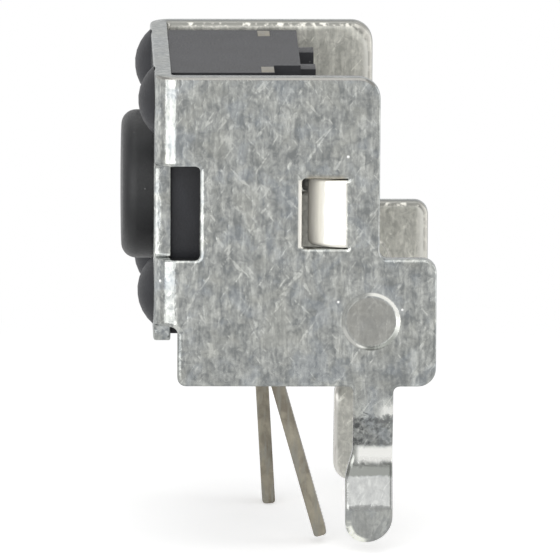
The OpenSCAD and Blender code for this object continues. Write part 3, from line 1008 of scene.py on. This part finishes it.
# ---------------------------------------------------------------- other materials

HOUSING_BLACK = (0.0165, 0.0172, 0.021)
BUTTON_BLACK = (0.013, 0.0135, 0.0145)
DUST = (0.3, 0.3, 0.3, 1)
LEAD_DARK, LEAD_LIGHT = (0.155, 0.14, 0.112, 1), (0.27, 0.25, 0.20, 1)
LEAD_STREAK = (0.21, 0.205, 0.18, 1)
STRIP_DARK, STRIP_LIGHT = (0.62, 0.61, 0.58, 1), (0.78, 0.77, 0.74, 1)
PAPER_DARK, PAPER_LIGHT = (0.93, 0.93, 0.93, 1), (0.95, 0.95, 0.95, 1)
WHITE = (1, 1, 1, 1)

FLOOR_FADE = (10.0, 24.0)  # distances between which the floor fades into the backdrop
FLOOR_LIFT = 0.45


def moulded_plastic(name, colour, roughness):
    """Black moulding: fine grain, faint flow marks and dust."""
    m = Nodes(name)
    grain = m.noise(m.coords, 22.0, detail=4.0, roughness=0.65)
    cloud = m.noise(m.coords, 1.6, detail=3.0, distortion=0.4)
    dark, pale = (tuple(c * k for c in colour) + (1,) for k in (0.8, 1.25))
    dust = m.product(m.spots(2.7, edge=0.07, core=0.03), 0.35)
    base = m.mix(dust, m.mix(m.span(cloud, 0.3, 0.7), dark, pale), DUST)
    return m.surface({
        "Base Color": base,
        "Roughness": m.span(grain, 0.3, 0.7, roughness - 0.06, roughness + 0.08),
        "Normal": m.bump(grain, distance=0.006, strength=0.7),
        "Specular IOR Level": 0.36,
    })


def tarnished_contact():
    """Plated brass leads, dulled to grey-brown with stains along them."""
    m = Nodes("tarnished_contact")
    stain = m.noise(m.coords, 1.8, detail=4.0, roughness=0.6, distortion=0.7)
    along = m.noise(m.mapped(m.coords, (9.0, 9.0, 1.2)), 1.0, detail=3.0, roughness=0.6)
    grain = m.noise(m.coords, 16.0, detail=3.0, roughness=0.6)
    base = m.mix(m.span(stain, 0.35, 0.65), LEAD_DARK, LEAD_LIGHT)
    return m.surface({
        "Base Color": m.mix(m.span(along, 0.45, 0.7), base, LEAD_STREAK),
        "Metallic": 1.0,
        "Roughness": m.span(stain, 0.3, 0.7, 0.36, 0.52),
        "Normal": m.bump(m.total(((along, 0.8),), grain), distance=0.008, strength=0.8),
    })


def spring_steel():
    """Bright rolled strip, with fine lines one way."""
    m = Nodes("spring_steel")
    lines = m.noise(m.mapped(m.coords, (1.0, 1.0, 30.0)), 1.0, detail=3.0, roughness=0.6)
    return m.surface({
        "Base Color": m.mix(lines, STRIP_DARK, STRIP_LIGHT),
        "Metallic": 1.0,
        "Roughness": m.span(lines, 0.3, 0.7, 0.2, 0.3),
        "Normal": m.bump(lines, distance=0.002, strength=0.6),
    })


def seen_rays(tree):
    """1 for the rays that show a surface to the camera, straight or by metal and glass."""
    path = tree.nodes.new("ShaderNodeLightPath")
    seen = path.outputs["Is Camera Ray"]
    for kind in ("Is Glossy Ray", "Is Transmission Ray"):
        either = tree.nodes.new("ShaderNodeMath")
        either.operation = "ADD"
        either.use_clamp = True
        tree.links.new(seen, either.inputs[0])
        tree.links.new(path.outputs[kind], either.inputs[1])
        seen = either.outputs[0]
    return seen


def floor_paper():
    """White paper. Seen by the camera it is lifted to white, and fades into the backdrop."""
    m = Nodes("floor_paper")
    base = m.mix(m.noise(m.coords, 3.0), PAPER_DARK, PAPER_LIGHT)
    plain = {"Base Color": base, "Roughness": 0.9, "Specular IOR Level": 0.1}
    lift = {"Emission Color": WHITE, "Emission Strength": FLOOR_LIFT}
    paper = m.add("ShaderNodeBsdfPrincipled", plain)
    lifted = m.add("ShaderNodeBsdfPrincipled", plain | lift)
    backdrop = m.add("ShaderNodeEmission", {"Color": WHITE, "Strength": 1.0})
    away = m.add("ShaderNodeVectorMath", {0: m.coords}, operation="LENGTH").outputs["Value"]
    seen = m.add("ShaderNodeMixShader", {
        0: m.span(away, *FLOOR_FADE), 1: lifted.outputs[0], 2: backdrop.outputs[0]})
    whole = m.add("ShaderNodeMixShader", {
        0: seen_rays(m.tree), 1: paper.outputs[0], 2: seen.outputs[0]})
    m.tree.links.new(whole.outputs[0], m.out.inputs["Surface"])
    return m.material


# ---------------------------------------------------------------- pieces

WELD_REACH = 1e-7  # in metres
FLAT_ANGLE = math.radians(0.5)
SHARP_ANGLE = math.radians(35)


def rounded_edges(node, width, segments):
    """A CAD node with modifiers that soften its sharp edges."""
    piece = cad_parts[node]
    weld = piece.modifiers.new("weld", "WELD")
    weld.merge_threshold = WELD_REACH
    flat = piece.modifiers.new("flat", "DECIMATE")
    flat.decimate_type = "DISSOLVE"
    flat.angle_limit = FLAT_ANGLE
    bevel = piece.modifiers.new("bevel", "BEVEL")
    bevel.width = width * MM
    bevel.segments = segments
    bevel.limit_method = "ANGLE"
    bevel.angle_limit = SHARP_ANGLE
    bevel.use_clamp_overlap = True
    bevel.harden_normals = False
    even = piece.modifiers.new("even", "WEIGHTED_NORMAL")
    even.keep_sharp = True
    for polygon in piece.data.polygons:
        polygon.use_smooth = True
    return piece


def make_bracket():
    """The folded steel sheet."""
    bracket = sheet_piece("bracket_sheet")
    dress(bracket, tinned_steel())
    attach(bracket, "switch")
    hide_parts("bracket")


def make_housing():
    """The black moulding."""
    housing = rounded_edges("housing", width=0.05, segments=3)
    dress(housing, moulded_plastic("housing_plastic", HOUSING_BLACK, roughness=0.5))


def make_button():
    """The push button."""
    button = lathe("button_cap", button_profile(), steps=128)
    dress(button, moulded_plastic("button_plastic", BUTTON_BLACK, roughness=0.45))
    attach(button, "button")
    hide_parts("button")


def make_dome():
    """The snap dome, which the button flattens towards its rim."""
    dome = lathe("snap_dome", dome_profile(), steps=96)
    dress(dome, spring_steel())
    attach(dome, "switch")
    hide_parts("contact_dome")
    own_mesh(dome)


def make_terminals():
    """Both strips with their leads."""
    contact = tarnished_contact()
    for name in ("terminal_right", "terminal_left"):
        dress(rounded_edges(name, width=0.085, segments=4), contact)


# ---------------------------------------------------------------- stage, lamps and camera

CENTRE = Vector((0, 0.3, 2.5))
FLOOR_R = 26.0
FLOOR_GAP = 0.01
SHADE = 0.28  # the world's strength as light on the object

# Each lamp's azimuth and elevation in degrees, distance, width and height, and its radiance
LAMPS = {
    "front_right": (58, 6, 420, 430, 370, 2.0),
    "front_left": (-26, 6, 420, 400, 370, 0.4),
    "high_right": (91, 36, 450, 360, 220, 1.15),
    "rear": (180, 8, 430, 400, 370, 0.9),
    "high_left": (268, 56, 450, 360, 220, 0.7),
    "top": (80, 80, 450, 420, 420, 1.0),
}


def make_floor():
    """A round sheet of paper just below the leads."""
    floor_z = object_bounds()[0][2] / MM - FLOOR_GAP
    bm = bmesh.new()
    bmesh.ops.create_circle(bm, cap_ends=True, segments=96, radius=FLOOR_R * MM)
    mesh = bpy.data.meshes.new("floor")
    bm.to_mesh(mesh)
    bm.free()
    floor = linked("floor", mesh)
    floor.location.z = floor_z * MM
    dress(floor, floor_paper())


def direction(azimuth, elevation):
    """A unit vector: azimuth 0 is -Y, 90 is +X, as seen by a camera placed there."""
    a, e = math.radians(azimuth), math.radians(elevation)
    return Vector((math.sin(a) * math.cos(e), -math.cos(a) * math.cos(e), math.sin(e)))


def placed(name, data, target, towards, distance):
    """A lamp or camera at a distance from its target, which it faces."""
    holder = linked(name, data)
    holder.location = (target + towards * distance) * MM
    holder.rotation_mode = "QUATERNION"
    holder.rotation_quaternion = towards.to_track_quat("Z", "Y")
    return holder


def softbox(name, azimuth, elevation, distance, width, height, radiance):
    """An area lamp that faces the switch, with its brightness given as radiance."""
    lamp = bpy.data.lights.new(name, "AREA")
    lamp.shape = "RECTANGLE"
    lamp.size, lamp.size_y = width * MM, height * MM
    lamp.energy = radiance * math.pi * lamp.size * lamp.size_y
    placed(name, lamp, CENTRE, direction(azimuth, elevation), distance)


def make_world():
    """An even backdrop, white where it is seen and dimmer as a light."""
    world = bpy.data.worlds.new("studio")
    world.use_nodes = True
    tree = world.node_tree
    light, white = tree.nodes["Background"], tree.nodes.new("ShaderNodeBackground")
    mixed = tree.nodes.new("ShaderNodeMixShader")
    tree.links.new(seen_rays(tree), mixed.inputs[0])
    for place, source, strength in ((1, light, SHADE), (2, white, 1.0)):
        source.inputs["Color"].default_value = WHITE
        source.inputs["Strength"].default_value = strength
        tree.links.new(source.outputs[0], mixed.inputs[place])
    tree.links.new(mixed.outputs[0], tree.nodes["World Output"].inputs["Surface"])
    scene.world = world


def make_camera():
    """A long lens from the right, a little in front and above."""
    lens, sensor, frame_width = 1500.0, 36.0, 12.91
    aim, tilt = Vector((WING_OUT, 0.326, 2.5165)), math.radians(0.338)
    camera = bpy.data.cameras.new("camera")
    camera.lens, camera.sensor_width = lens, sensor
    camera.clip_start, camera.clip_end = 0.01, 10
    distance = frame_width * lens / sensor
    holder = placed("camera", camera, aim, direction(88.65, 11.28), distance)
    holder.rotation_quaternion = holder.rotation_quaternion @ Quaternion((0, 0, 1), tilt)
    scene.camera = holder


# ---------------------------------------------------------------- the whole scene

make_bracket()
make_housing()
make_button()
make_dome()
make_terminals()

make_floor()
make_world()
for name, settings in LAMPS.items():
    softbox(name, *settings)
make_camera()

scene.view_settings.view_transform = "Standard"
